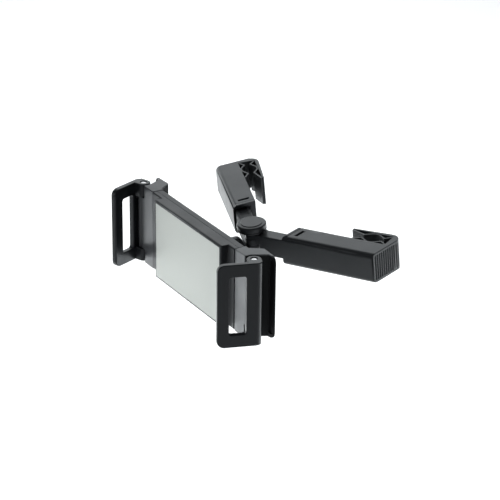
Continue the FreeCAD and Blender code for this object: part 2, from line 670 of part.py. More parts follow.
def make_hub_washers():
    """Two flat washers, over and under the three knuckles."""
    body = new_body("hub_washers")
    bore = cell.hub_bolt_radius + cell.bore_clearance
    extrude(body, "XY_Plane", stack_top, upper_washer_top,
            circles=[((0, 0), cell.upper_washer_radius), ((0, 0), bore)])
    extrude(body, "XY_Plane", lower_washer_bottom, stack_bottom,
            circles=[((0, 0), cell.lower_washer_radius), ((0, 0), bore)])
    body.Placement = hub_placement
    return body


def make_hub_cap():
    """Round cap over the nut, with a raised disc on top and a groove line near its lower edge."""
    body = new_body("hub_cap")
    bottom = upper_washer_top + cell.stack_gap
    disc_top = bottom + cell.cap_height
    rim_top = disc_top - cell.cap_disc_height
    line_low = bottom + cell.cap_line_height
    hollow = cell.nut_flats / math.sqrt(3) + cell.cap_nut_gap
    ceiling = disc_top - cell.cap_wall
    turn(body, "XZ_Plane", [
        (0, ceiling),
        (hollow, ceiling),
        (hollow, bottom),
        (cell.cap_radius, bottom),
        (cell.cap_radius, line_low),
        (cell.cap_radius - cell.cap_line_depth, line_low),
        (cell.cap_radius - cell.cap_line_depth, line_low + cell.cap_line_width),
        (cell.cap_radius, line_low + cell.cap_line_width),
        (cell.cap_radius, rim_top, cell.cap_edge_round),
        (cell.cap_disc_radius, rim_top),
        (cell.cap_disc_radius, disc_top),
        (0, disc_top),
    ])
    body.Placement = hub_placement
    return body


cavity_radius = cell.ball_radius + cell.seat_wall + 2 * cell.seat_clearance


def make_seat(label, from_angle, to_angle):
    """Thin ring of bearing plastic between the ball and its socket, spherical on both sides."""
    body = new_body(label)
    sketch = new_sketch(body, "XY_Plane", 0.0)
    inner_radius = cell.ball_radius + cell.seat_clearance
    outer_radius = inner_radius + cell.seat_wall
    low = degrees(from_angle) - math.pi / 2
    high = degrees(to_angle) - math.pi / 2
    arcs = []
    for radius in (inner_radius, outer_radius):
        circle = Part.Circle(FreeCAD.Vector(), FreeCAD.Vector(0, 0, 1), radius.amount)
        arc = sketch.addGeometry(Part.ArcOfCircle(circle, low, high), False)
        sketch.addConstraint(Sketcher.Constraint("Coincident", arc, 3, -1, 1))
        fixed = sketch.addConstraint(Sketcher.Constraint("Radius", arc, radius.amount))
        bind(sketch, f"Constraints[{fixed}]", radius)
        arcs.append(arc)
    for end, angle in ((1, low), (2, high)):
        inner_point = FreeCAD.Vector(math.cos(angle), math.sin(angle), 0) * inner_radius.amount
        outer_point = FreeCAD.Vector(math.cos(angle), math.sin(angle), 0) * outer_radius.amount
        edge = sketch.addGeometry(Part.LineSegment(inner_point, outer_point), False)
        sketch.addConstraint(Sketcher.Constraint("Coincident", edge, 1, arcs[0], end))
        sketch.addConstraint(Sketcher.Constraint("Coincident", edge, 2, arcs[1], end))
        for point, radius in ((1, inner_radius), (2, outer_radius)):
            height = radius * math.sin(angle)
            index = sketch.addConstraint(Sketcher.Constraint("DistanceY", -1, 1, edge, point, height.amount))
            bind(sketch, f"Constraints[{index}]", height)
    feature = body.newObject("PartDesign::Revolution", f"{label}_turned")
    feature.Profile = sketch
    feature.ReferenceAxis = (sketch, ["V_Axis"])
    feature.Angle = 360
    body.Placement = ball_placement
    return body


def hollow_ball_seat(body):
    """Cut the spherical hollow for the seats, about the ball's centre."""
    hollow = body.newObject("PartDesign::SubtractiveSphere", f"{body.Name}_hollow")
    attach(body, hollow, "XY_Plane", 0.0)
    bind(hollow, "Radius", cavity_radius)


def make_socket():
    """Socket cup on a round flange that sits on the cradle's rear cover. Its rim is at the ball's equator."""
    body = new_body("socket_base")
    foot = -(cell.ball_behind_front - cell.cradle_depth)
    flange_top = foot + cell.cup_flange_height
    cup_radius = cavity_radius + cell.cup_wall
    turn(body, "XY_Plane", [
        (0, foot),
        (cell.cup_flange_radius, foot),
        (cell.cup_flange_radius, flange_top),
        (cup_radius, flange_top, cell.cup_foot_round),
        (cup_radius, 0),
        (0, 0),
    ])
    hollow_ball_seat(body)
    body.Placement = ball_placement
    return body


def make_collar_nut():
    """Knurled nut that closes the socket behind the ball and leaves a flared hole for the stem."""
    body = new_body("collar_nut")
    bore = cavity_radius + cell.cup_wall + cell.thread_clearance
    turn(body, "XY_Plane", [
        (bore, -cell.collar_front),
        (bore, cell.collar_shelf),
        (cell.collar_mouth, cell.collar_shelf),
        (cell.collar_mouth, cell.collar_flare_from),
        (cell.collar_mouth + cell.collar_flare, cell.collar_back),
        (cell.collar_radius - cell.collar_chamfer, cell.collar_back),
        (cell.collar_radius, cell.collar_back - cell.collar_chamfer),
        (cell.collar_radius, -cell.collar_front + cell.collar_chamfer),
        (cell.collar_radius - cell.collar_chamfer, -cell.collar_front),
    ])
    hollow_ball_seat(body)
    groove = [(cell.collar_radius - cell.knurl_depth, 0),
              (cell.collar_radius + cell.knurl_past, -cell.knurl_width / 2),
              (cell.collar_radius + cell.knurl_past, cell.knurl_width / 2)]
    cut = extrude(body, "XZ_Plane", -cell.collar_front - OVER, cell.collar_back + OVER, [groove], cut=True)
    document.recompute()
    pattern = body.newObject("PartDesign::PolarPattern", "knurl")
    pattern.Originals = [cut]
    pattern.Axis = (origin_feature(body, "Y_Axis"), [""])
    pattern.Angle = 360
    bind(pattern, "Occurrences", cell.knurl_count)
    body.Tip = pattern
    body.Placement = ball_placement
    return body


def make_front_panel():
    """Silver plate in the recess of the raised front."""
    body = new_body("front_panel")
    extrude(body, "XZ_Plane", 0, cell.panel_thickness, [
        box_loop(-cell.panel_half_length, cell.panel_half_length,
                 -panel_half_height, panel_half_height, cell.panel_corner_round)])
    body.Placement = cradle_placement
    return body


channel_front = cell.slide_front - cell.slide_clearance
channel_back = cell.slide_back + cell.slide_clearance
channel_half = cell.slide_half_height + cell.slide_clearance
tenon_pocket_end = -cell.cradle_left_end + cell.tenon_length + cell.slide_clearance
screw_height = cell.slide_half_height + cell.screw_land
screw_spots = [(x_way * cell.screw_place, z_way * screw_height) for x_way in (-1, 1) for z_way in (-1, 1)]
spring_spots = [-cell.spring_height, cell.spring_height]


def cut_jaw_channels(body, low, high):
    """The slide plate's channel on the right and the fixed jaw's pocket on the left."""
    past_right = cell.cradle_right_end + OVER
    past_left = -cell.cradle_left_end - OVER
    for start, end in ((-cell.channel_left_end, past_right), (past_left, tenon_pocket_end)):
        extrude(body, "XZ_Plane", low, high, [box_loop(start, end, -channel_half, channel_half)], cut=True)


def make_cradle_housing():
    """Front half of the cradle: a raised front with the panel's recess, between two lower shoulders."""
    body = new_body("cradle_housing")
    half = cradle_half_height
    front = cell.front_half_length
    extrude(body, "XZ_Plane", cell.shoulder_depth, cell.seam_depth, [
        box_loop(-cell.cradle_left_end, cell.cradle_right_end, -half, half)])
    extrude(body, "XY_Plane", -half, half, [[
        (-front, 0, cell.front_corner_round),
        (front, 0, cell.front_corner_round),
        (front, cell.seam_depth),
        (-front, cell.seam_depth),
    ]])
    extrude(body, "YZ_Plane", -front, front, [corner_loop(0, way * half, -1, way, cell.front_edge_round)
                                             for way in (-1, 1)], cut=True)
    for low, high in ((-cell.cradle_left_end - OVER, -front), (front, cell.cradle_right_end + OVER)):
        extrude(body, "YZ_Plane", low, high, [
            corner_loop(cell.shoulder_depth, way * half, -1, way, cell.jaw_edge_round)
            for way in (-1, 1)], cut=True)
    recess_length = cell.panel_half_length + cell.panel_gap
    recess_height = panel_half_height + cell.panel_gap
    extrude(body, "XZ_Plane", 0, cell.panel_thickness, [
        box_loop(-recess_length, recess_length, -recess_height, recess_height, cell.panel_corner_round)],
            cut=True)
    cut_jaw_channels(body, channel_front, cell.seam_depth)
    screw_end = cell.cradle_depth - cell.screw_head_height - cell.screw_length
    extrude(body, "XZ_Plane", screw_end, cell.seam_depth,
            circles=[(spot, cell.screw_radius + cell.screw_gap) for spot in screw_spots], cut=True)
    body.Placement = cradle_placement
    return body


def make_rear_cover():
    """Rear half of the cradle, screwed to the front half, with posts for the jaw springs."""
    body = new_body("rear_cover")
    half = cradle_half_height
    left = -cell.cradle_left_end
    right = cell.cradle_right_end
    extrude(body, "XZ_Plane", cell.seam_depth, cell.cradle_depth, [box_loop(left, right, -half, half)])
    edge_round = cell.cover_edge_round
    extrude(body, "YZ_Plane", left - OVER, right + OVER, [
        corner_loop(cell.cradle_depth, way * half, 1, way, edge_round) for way in (-1, 1)], cut=True)
    cut_jaw_channels(body, cell.seam_depth, channel_back)
    extrude(body, "XZ_Plane", channel_front, channel_back,
            circles=[((-cell.spring_post_place, height), cell.spring_post_radius) for height in spring_spots])
    head_seat = cell.cradle_depth - cell.screw_head_height
    extrude(body, "XZ_Plane", cell.seam_depth, cell.cradle_depth,
            circles=[(spot, cell.screw_radius + cell.screw_gap) for spot in screw_spots], cut=True)
    extrude(body, "XZ_Plane", head_seat, cell.cradle_depth,
            circles=[(spot, cell.screw_head_radius + cell.screw_gap) for spot in screw_spots], cut=True)
    body.Placement = cradle_placement
    return body


def make_cover_screws():
    """Four small screws that hold the cradle's halves together."""
    body = new_body("cover_screws")
    head_seat = cell.cradle_depth - cell.screw_head_height
    for spot in screw_spots:
        extrude(body, "XZ_Plane", head_seat - cell.screw_length, head_seat + cell.screw_head_height / 2,
                circles=[(spot, cell.screw_radius)])
        extrude(body, "XZ_Plane", head_seat, cell.cradle_depth, circles=[(spot, cell.screw_head_radius)])
    body.Placement = cradle_placement
    return body


def make_jaw_springs():
    """Two extension springs, drawn as the sleeve of their closed coils, each with an eye on its post."""
    body = new_body("jaw_springs")
    middle = (cell.slide_front + cell.slide_back) / 2
    eye_outer = cell.spring_radius + cell.spring_wire
    eye_centre = -cell.spring_post_place
    coil_start = eye_centre + cell.spring_radius
    coil_inner = cell.spring_radius - cell.spring_wire
    coil_end = cell.spring_slot_end - cell.hinge_gap
    for height in spring_spots:
        extrude(body, "YZ_Plane", coil_start, coil_end,
                circles=[((middle, height), cell.spring_radius), ((middle, height), coil_inner)])
        extrude(body, "XZ_Plane", middle - cell.spring_wire / 2, middle + cell.spring_wire / 2,
                circles=[((eye_centre, height), eye_outer),
                         ((eye_centre, height), cell.spring_post_radius + cell.hinge_gap)])
    body.Placement = cradle_placement
    return body


def make_jaw(label, side, pin_place, seam_place):
    """End moulding of the cradle: a block with the hook's middle barrel in front and, behind it, a raised
    flange whose hollow front faces the hook."""
    body = new_body(label)
    half = jaw_half_height
    block_end = pin_place - cell.jaw_front_end
    extrude(body, "XY_Plane", -half, half, [[
        (side * seam_place, cell.shoulder_depth),
        (side * block_end, cell.shoulder_depth, cell.jaw_edge_round),
        (side * block_end, cell.jaw_notch_depth),
        (side * (pin_place - cell.flange_root), cell.flange_root_depth),
        (side * (pin_place + cell.flange_reach), cell.flange_tip_front),
        (side * (pin_place + cell.flange_reach), cell.flange_tip_back),
        (side * (pin_place - cell.flange_inner), cell.flange_back_depth, cell.flange_back_round),
        (side * (pin_place - cell.flange_foot), cell.cradle_depth),
        (side * seam_place, cell.cradle_depth),
    ]])
    barrel_half = half - cell.knuckle_length - cell.hinge_gap
    barrel_back = cell.pin_depth + cell.barrel_radius
    extrude(body, "XY_Plane", -barrel_half, barrel_half, [
        box_loop(side * (block_end - OVER), side * pin_place, cell.shoulder_depth, barrel_back - OVER)])
    extrude(body, "XY_Plane", -barrel_half, barrel_half, circles=[((side * pin_place, cell.pin_depth),
                                                                    cell.barrel_radius)])
    extrude(body, "XY_Plane", -barrel_half - OVER, barrel_half + OVER,
            circles=[((side * pin_place, cell.pin_depth), cell.pin_radius + cell.bore_clearance)], cut=True)
    tip = side * (pin_place + cell.flange_reach)
    extrude(body, "XZ_Plane", cell.cradle_depth + OVER, cell.flange_back_depth + OVER, [
        corner_loop(tip, way * half, side, way, cell.flange_corner_round) for way in (-1, 1)], cut=True)
    hollow_half = half - cell.cup_end_rim
    extrude(body, "XZ_Plane", cell.cradle_depth + OVER, cell.flange_tip_back - cell.cup_floor, [
        box_loop(side * (pin_place - cell.flange_root + cell.cup_inner_rim),
                 side * (pin_place + cell.flange_reach - cell.cup_rim), -hollow_half, hollow_half,
                 cell.cup_rim)], cut=True)
    if side > 0:
        half_slide = cell.slide_half_height
        extrude(body, "XZ_Plane", cell.slide_front, cell.slide_back, [
            box_loop(-cell.slide_inner_end, seam_place + OVER, -half_slide, half_slide)])
        extrude(body, "XZ_Plane", cell.slide_front, cell.slide_back, [
            box_loop(-cell.slide_inner_end - OVER, cell.spring_slot_end, height - cell.spring_slot_half,
                     height + cell.spring_slot_half) for height in spring_spots], cut=True)
    else:
        extrude(body, "XZ_Plane", cell.slide_front, cell.slide_back, [
            box_loop(-seam_place - OVER, -seam_place + cell.tenon_length, -cell.slide_half_height,
                     cell.slide_half_height)])
    body.Placement = cradle_placement
    return body


def pin_axis_placement(side, pin_place, lean):
    """The hook's own frame: its origin on the pin, turned inward by its lean."""
    at_pin = FreeCAD.Placement(FreeCAD.Vector(side * pin_place.amount, cell.pin_depth.amount, 0),
                               FreeCAD.Rotation(Z_AXIS, -side * lean.amount))
    return cradle_placement.multiply(at_pin)


def make_hook(label, side, pin_place, lean):
    """Flat window frame that folds about the pin, with a knuckle over and under the jaw's barrel."""
    body = new_body(label)
    half = jaw_half_height
    inner = cell.hook_outer_offset - cell.hook_thickness
    extrude(body, "XY_Plane", -half, half, [[
        (side * inner, -cell.hook_reach, cell.hook_end_round),
        (side * cell.hook_outer_offset, -cell.hook_reach, cell.hook_end_round),
        (side * cell.hook_outer_offset, cell.hook_back, cell.hook_back_round),
        (side * inner, cell.hook_back),
    ]])
    for low, high in ((half - cell.knuckle_length, half), (-half, -half + cell.knuckle_length)):
        extrude(body, "XY_Plane", low, high, [
            box_loop(0, side * (inner + OVER), -cell.hook_knuckle_radius, cell.hook_back)])
        extrude(body, "XY_Plane", low, high, circles=[((0, 0), cell.hook_knuckle_radius)])
    extrude(body, "XY_Plane", -half - OVER, half + OVER,
            circles=[((0, 0), cell.pin_radius + cell.bore_clearance)], cut=True)
    faces = sorted((side * (inner - OVER), side * (cell.hook_outer_offset + OVER)),
                   key=lambda place: place.amount)
    extrude(body, "YZ_Plane", faces[0], faces[1], [
        box_loop(-cell.hook_window_far, -cell.hook_window_near, -cell.hook_window_half, cell.hook_window_half,
                 cell.hook_window_round)], cut=True)
    extrude(body, "YZ_Plane", faces[0], faces[1], [
        corner_loop(-cell.hook_reach, way * half, -1, way, cell.hook_corner_round)
        for way in (-1, 1)], cut=True)
    body.Placement = pin_axis_placement(side, pin_place, lean)
    return body


def make_hook_pin(label, side, pin_place, lean):
    """Plain steel pin, its ends sunk below the hook's knuckles."""
    body = new_body(label)
    half = jaw_half_height - cell.pin_sink
    extrude(body, "XY_Plane", -half, half, circles=[((0, 0), cell.pin_radius)])
    body.Placement = pin_axis_placement(side, pin_place, lean)
    return body


pieces = [
    make_arm_housing("arm_1_housing", -1),
    make_arm_housing("arm_2_housing", 1),
    make_lining("arm_1_inner_lining", -1, -1, cell.inner_lead_in),
    make_lining("arm_1_outer_lining", -1, 1, cell.tongue_tip + cell.tip_setback),
    make_lining("arm_2_inner_lining", 1, -1, cell.inner_lead_in),
    make_lining("arm_2_outer_lining", 1, 1, cell.tongue_tip + cell.tip_setback),
    make_stop_clip("arm_1_stop_clip", -1),
    make_stop_clip("arm_2_stop_clip", 1),
    make_neck("neck_1", -1, 1),
    make_neck("neck_2", 1, 2),
    make_ball_stud(),
    make_hub_bolt(),
    make_hub_nut(),
    make_hub_washers(),
    make_hub_cap(),
    make_seat("front_ball_seat", cell.front_seat_from, cell.front_seat_to),
    make_seat("rear_ball_seat", cell.rear_seat_from, cell.rear_seat_to),
    make_socket(),
    make_collar_nut(),
    make_front_panel(),
    make_cradle_housing(),
    make_rear_cover(),
    make_cover_screws(),
    make_jaw_springs(),
    make_jaw("left_jaw", -1, cell.left_pin_place, cell.cradle_left_end),
    make_jaw("right_jaw", 1, cell.right_pin_place, cell.cradle_right_end),
    make_hook("left_hook", -1, cell.left_pin_place, cell.left_hook_lean),
    make_hook("right_hook", 1, cell.right_pin_place, cell.right_hook_lean),
    make_hook_pin("left_hook_pin", -1, cell.left_pin_place, cell.left_hook_lean),
    make_hook_pin("right_hook_pin", 1, cell.right_pin_place, cell.right_hook_lean),
]
document.recompute()

for thing in document.Objects:
    if "Invalid" in thing.State or "Error" in thing.State:
        raise RuntimeError(f"{thing.Name} failed: {thing.State}")
for piece in pieces:
    if piece.Shape.isNull() or not piece.Shape.isValid() or piece.Shape.Volume <= 0:
        raise RuntimeError(f"{piece.Label} has no valid shape")

os.makedirs("parts", exist_ok=True)
for piece in pieces:
    piece.Shape.exportStep(f"parts/{piece.Label}.step")
    print(piece.Label, len(piece.Shape.Solids), round(piece.Shape.Volume, 1))
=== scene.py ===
import bpy
import bmesh
import json
import math
from mathutils import Euler, Matrix, Vector

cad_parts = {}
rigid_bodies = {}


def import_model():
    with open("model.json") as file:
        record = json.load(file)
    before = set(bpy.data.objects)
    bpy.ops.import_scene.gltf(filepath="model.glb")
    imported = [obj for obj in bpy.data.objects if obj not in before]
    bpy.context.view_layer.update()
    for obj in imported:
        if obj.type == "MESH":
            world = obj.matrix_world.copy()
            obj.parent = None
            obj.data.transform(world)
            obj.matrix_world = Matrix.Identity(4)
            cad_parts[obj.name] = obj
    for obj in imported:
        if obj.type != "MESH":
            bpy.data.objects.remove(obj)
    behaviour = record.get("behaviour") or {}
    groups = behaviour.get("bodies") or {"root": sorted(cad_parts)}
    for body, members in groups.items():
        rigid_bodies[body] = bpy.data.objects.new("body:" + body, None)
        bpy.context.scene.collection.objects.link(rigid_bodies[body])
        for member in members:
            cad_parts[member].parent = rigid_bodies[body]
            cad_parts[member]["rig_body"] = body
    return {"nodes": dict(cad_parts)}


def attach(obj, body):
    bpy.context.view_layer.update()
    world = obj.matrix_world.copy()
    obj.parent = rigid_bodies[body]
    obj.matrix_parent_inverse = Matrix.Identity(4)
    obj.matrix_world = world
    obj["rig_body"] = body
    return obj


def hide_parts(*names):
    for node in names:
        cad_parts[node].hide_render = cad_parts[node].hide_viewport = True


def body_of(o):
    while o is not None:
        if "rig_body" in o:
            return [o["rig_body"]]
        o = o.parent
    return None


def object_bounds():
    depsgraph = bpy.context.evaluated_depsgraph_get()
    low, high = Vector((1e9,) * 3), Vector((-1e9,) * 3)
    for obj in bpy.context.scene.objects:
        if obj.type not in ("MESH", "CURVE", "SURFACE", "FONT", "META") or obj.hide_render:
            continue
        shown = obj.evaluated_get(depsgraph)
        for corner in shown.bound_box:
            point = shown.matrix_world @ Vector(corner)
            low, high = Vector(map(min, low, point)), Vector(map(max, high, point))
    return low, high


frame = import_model()
cad_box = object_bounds()


# Arm housings. Each is one injection moulding in black plastic with a fine spark-eroded grain.
# The neck's bar slides in its tunnel, and the end turns back as a tongue that leaves the cell
# for the headrest post.
def new_finish(name):
    """A new material, with its node tree, its shader and its Object coordinates."""
    material = bpy.data.materials.new(name)
    material.use_nodes = True
    tree = material.node_tree
    place = tree.nodes.new("ShaderNodeTexCoord").outputs["Object"]
    return material, tree, tree.nodes["Principled BSDF"], place


def noise(tree, place, scale, detail):
    """A soft random pattern, from 0 to 1."""
    node = tree.nodes.new("ShaderNodeTexNoise")
    node.inputs["Scale"].default_value = scale
    node.inputs["Detail"].default_value = detail
    tree.links.new(place, node.inputs["Vector"])
    return node.outputs["Fac"]


def uneven_sheen(tree, pattern, smooth, rough, start=0.0, end=1.0):
    """Roughness that goes from smooth to rough as the pattern goes from start to end."""
    sheen = tree.nodes.new("ShaderNodeMapRange")
    sheen.name = "sheen"
    sheen.inputs["From Min"].default_value = start
    sheen.inputs["From Max"].default_value = end
    sheen.inputs["To Min"].default_value = smooth
    sheen.inputs["To Max"].default_value = rough
    tree.links.new(pattern, sheen.inputs["Value"])
    tree.links.new(sheen.outputs["Result"], tree.nodes["Principled BSDF"].inputs["Roughness"])


def shade(colour, share):
    """A colour made darker or lighter."""
    return [channel * share for channel in colour]


def uneven_tint(tree, pattern, dark, light):
    """Colour that the pattern takes from dark to light."""
    tint = tree.nodes.new("ShaderNodeMix")
    tint.name = "tint"
    tint.data_type = "RGBA"
    tint.inputs["A"].default_value = (*dark, 1)
    tint.inputs["B"].default_value = (*light, 1)
    tree.links.new(pattern, tint.inputs["Factor"])
    tree.links.new(tint.outputs["Result"], tree.nodes["Principled BSDF"].inputs["Base Color"])


def fine_relief(tree, pattern, strength, depth):
    """Bump that follows the pattern."""
    bump = tree.nodes.new("ShaderNodeBump")
    bump.inputs["Strength"].default_value = strength
    bump.inputs["Distance"].default_value = depth
    tree.links.new(pattern, bump.inputs["Height"])
    tree.links.new(bump.outputs["Normal"], tree.nodes["Principled BSDF"].inputs["Normal"])


def moulded_plastic(name, colour, roughness, grain_depth):
    """Black moulding: fine grain, faint uneven sheen and a trace of handling."""
    material, tree, shader, place = new_finish(name)
    shader.inputs["IOR"].default_value = 1.5
    shader.inputs["Specular Tint"].default_value = (0.93, 0.97, 1.0, 1)
    handled = noise(tree, place, scale=55.0, detail=3.0)
    grain = noise(tree, place, scale=2600.0, detail=2.0)
    uneven_sheen(tree, handled, roughness - 0.03, roughness + 0.04, start=0.35, end=0.65)
    uneven_tint(tree, handled, shade(colour, 0.92), shade(colour, 1.10))
    fine_relief(tree, grain, strength=0.35, depth=grain_depth)
    return material


FOLD_ANGLE = math.radians(120)  # a radius that turns further than this has folded over
FOLD_LENGTH = 0.00002           # shorter edges are too small to see
FOLD_AREA = 1e-10               # and so are smaller faces


def folded_spots(work):
    """Where a small radius has folded over itself, in a mesh that has just been rounded."""
    check = work.copy()
    bmesh.ops.triangulate(check, faces=check.faces)
    spots = [edge.verts[0].co.copy() for edge in check.edges
             if len(edge.link_faces) == 2 and edge.calc_face_angle() > FOLD_ANGLE
             and edge.calc_length() > FOLD_LENGTH
             and min(face.calc_area() for face in edge.link_faces) > FOLD_AREA]
    check.free()
    return spots


MERGE_REACH = 0.000005               # corners of the CAD's loose triangles this close are one
LEVEL_ANGLE = math.radians(0.3)      # faces that turn less than this are one flat face
OUTER_EDGE_ANGLE = math.radians(35)  # outer edges that turn more than this get the radius
SHARP_REACH = 0.0011                 # edges this near a fold stay sharp in the next try
ROUNDING_TRIES = 4
SPECK = 0.000002                     # shorter edges are cleaned away


def rounded_copy(node, radius, reshape):
    """A merged copy of a CAD node's mesh with a small radius on its outer edges.

    Edges beside a spot where the radius would fold over itself stay sharp."""
    kept_sharp = []
    for attempt in range(1, ROUNDING_TRIES + 1):
        work = bmesh.new()
        work.from_mesh(frame["nodes"][node].data)
        bmesh.ops.remove_doubles(work, verts=work.verts, dist=MERGE_REACH)
        bmesh.ops.dissolve_limit(work, angle_limit=LEVEL_ANGLE, verts=work.verts, edges=work.edges)
        if reshape:
            reshape(work)
        edges = [edge for edge in work.edges
                 if len(edge.link_faces) == 2 and edge.is_convex
                 and edge.calc_face_angle() > OUTER_EDGE_ANGLE
                 and not any((vert.co - spot).length < SHARP_REACH
                             for vert in edge.verts for spot in kept_sharp)]
        bmesh.ops.bevel(work, geom=edges, offset=radius, offset_type="OFFSET", segments=2,
                        profile=0.5, affect="EDGES", clamp_overlap=False, material=-1)
        spots = folded_spots(work)
        if not spots or attempt == ROUNDING_TRIES:
            break
        kept_sharp += spots
        work.free()
    bmesh.ops.remove_doubles(work, verts=work.verts, dist=SPECK)
    bmesh.ops.dissolve_degenerate(work, dist=SPECK, edges=work.edges)
    return work


CREASE_ANGLE = math.radians(40)  # edges that turn more than this are shaded sharp


def finished_piece(work, name, finish, node):
    """Make the worked mesh a piece that stands for its CAD node and rides on its body."""
    data = bpy.data.meshes.new(name)
    work.to_mesh(data)
    work.free()
    data.shade_smooth()
    data.set_sharp_from_angle(angle=CREASE_ANGLE)
    data.materials.append(finish)
    piece = bpy.data.objects.new(name, data)
    bpy.context.scene.collection.objects.link(piece)
    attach(piece, body_of(frame["nodes"][node])[0])
    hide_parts(node)
    return piece


def rounded_moulding(node, name, radius, finish, reshape=None):
    """A moulding with the mould's small radius on its outer edges.

    reshape, where given, moves corners of the copy before its edges are rounded."""
    piece = finished_piece(rounded_copy(node, radius, reshape), name, finish, node)
    flat_faces = piece.modifiers.new("flat_faces", "WEIGHTED_NORMAL")
    flat_faces.keep_sharp = True


ARM_RADIUS = 0.0005
arm_plastic = moulded_plastic("arm_plastic", (0.034, 0.037, 0.041),
                              roughness=0.34, grain_depth=0.00005)
for arm in ("arm_1", "arm_2"):
    rounded_moulding(arm + "_housing", arm + "_moulding", ARM_RADIUS, arm_plastic)


# Grip linings. A soft extruded ribbon of matt black elastomer, folded into teeth that close on
# the headrest post. Two are pressed into each arm's cell, against its walls.
def finish_nodes(material, *names):
    """Give CAD nodes their finish."""
    for name in names:
        mesh = frame["nodes"][name].data
        mesh.materials.clear()
        mesh.materials.append(material)


lining_rubber = moulded_plastic("lining_rubber", (0.060, 0.064, 0.068),
                                roughness=0.42, grain_depth=0.00008)
finish_nodes(lining_rubber, "arm_1_inner_lining", "arm_1_outer_lining",
             "arm_2_inner_lining", "arm_2_outer_lining")


# Stop clips. A flat strip of blackened steel stands in the slot near each tunnel's mouth, over
# the bar's track, and keeps the bar in the arm.
def plain_steel(name, colour, roughness, mark_scale):
    """Steel with fine tool marks, which lie closest where mark_scale is largest."""
    material, tree, shader, place = new_finish(name)
    shader.inputs["Metallic"].default_value = 1.0
    stretch = tree.nodes.new("ShaderNodeMapping")
    stretch.inputs["Scale"].default_value = mark_scale
    tree.links.new(place, stretch.inputs["Vector"])
    marks = noise(tree, stretch.outputs["Vector"], scale=1.0, detail=4.0)
    uneven_sheen(tree, marks, roughness - 0.06, roughness + 0.08)
    uneven_tint(tree, marks, shade(colour, 0.9), colour)
    fine_relief(tree, marks, strength=0.15, depth=0.00002)
    return material


EVEN_MARKS = (2600, 2600, 2600)
clip_steel = plain_steel("clip_steel", (0.03, 0.03, 0.032), 0.5, EVEN_MARKS)
finish_nodes(clip_steel, "arm_1_stop_clip", "arm_2_stop_clip")

# Necks. Each is a black moulding: a bar with a shallow track on top that slides in its arm, and
# a hinge knuckle that the hub's bolt goes through.
NECK_RADIUS = 0.0003
# Painted light: neck_1's colour is painted a little lighter than neck_2's, to lift its top out of
# the shade of the arm's mouth. Its roughness is higher too.
neck_1_plastic_painted_lighter = moulded_plastic("neck_1_plastic_painted_lighter", (0.045, 0.049, 0.054),
                               roughness=0.60, grain_depth=0.00006)
rounded_moulding("neck_1", "neck_1_moulding", NECK_RADIUS, neck_1_plastic_painted_lighter)
rounded_moulding("neck_2", "neck_2_moulding", NECK_RADIUS, arm_plastic)

# Hub. A bolt, nut and washers of blackened steel clamp the two knuckles and the stud's eye, and
# a round black moulded cap covers the nut.
CAP_RADIUS = 0.0003
TURNED_MARKS = (900, 900, 5200)
black_steel = plain_steel("blackened_steel", (0.045, 0.046, 0.05), 0.36, TURNED_MARKS)
finish_nodes(black_steel, "hub_bolt", "hub_nut", "hub_washers")
rounded_moulding("hub_cap", "hub_cap_moulding", CAP_RADIUS, arm_plastic)

# Ball stud. One piece of turned steel under a black coat: the ball, its stem and the flat eye
# that the hub's bolt clamps.
STUD_RADIUS = 0.0002
stud_coat = moulded_plastic("stud_coat", (0.018, 0.019, 0.021),
                            roughness=0.36, grain_depth=0.00002)
rounded_moulding("ball_stud", "ball_stud_coated", STUD_RADIUS, stud_coat)

# Ball socket. Two seats of natural bearing plastic hold the ball in the black moulded socket,
# and the knurled collar nut closes it.
seat_plastic = moulded_plastic("seat_plastic", (0.55, 0.54, 0.50),
                               roughness=0.4, grain_depth=0.00003)
finish_nodes(seat_plastic, "front_ball_seat", "rear_ball_seat")
finish_nodes(arm_plastic, "socket_base", "collar_nut")

# Cradle shell. The front half and the rear cover are black mouldings, held by four screws. They
# meet in a seam round the edge, where the small radii of the two leave a fine groove.
SHELL_RADIUS = 0.0003
cradle_plastic = moulded_plastic("cradle_plastic", (0.036, 0.039, 0.043),
                                 roughness=0.43, grain_depth=0.00004)
rounded_moulding("cradle_housing", "cradle_front_shell", SHELL_RADIUS, cradle_plastic)
rounded_moulding("rear_cover", "cradle_rear_shell", SHELL_RADIUS, cradle_plastic)
screw_steel = plain_steel("screw_steel", (0.16, 0.16, 0.165), 0.4, EVEN_MARKS)
finish_nodes(screw_steel, "cover_screws")

# End jaws. Black mouldings whose polished fronts carry the tablet, each with the barrel of its
# hook's hinge and a hollow flange. The right one slides out of the shell with its plate.
BALL_CENTRE = Vector((0.09138957, -0.07177890, -0.0043))
CRADLE_TURN = (Matrix.Rotation(math.radians(-6.63), 3, "X")
               @ Matrix.Rotation(math.radians(-0.88), 3, "Y"))
CRADLE_SHIFT = Vector((0, 0.039, 0))  # from the cradle's front to the ball's centre


def in_cradle(point):
    """A point in the cradle's own frame: x along it, y the depth behind its front, z up."""
    return CRADLE_TURN.transposed() @ (point - BALL_CENTRE) + CRADLE_SHIFT


def from_cradle(point):
    """The same point back in the shared frame."""
    return CRADLE_TURN @ (point - CRADLE_SHIFT) + BALL_CENTRE


POLISHED_DEPTH = 0.0090  # the jaw's polished front reaches back to here; painted shade and a rougher finish begin behind it
SHADE_AND_ROUGH_DEPTH = 0.0120     # and the painted shade and the rough finish are full from here on
RIM_TOP = 0.0326         # the flange's rim keeps its own colour and sheen above this height, free of the painted shade
RIM_FOOT = 0.0320        # and the painted shade and the rough finish are full below this one
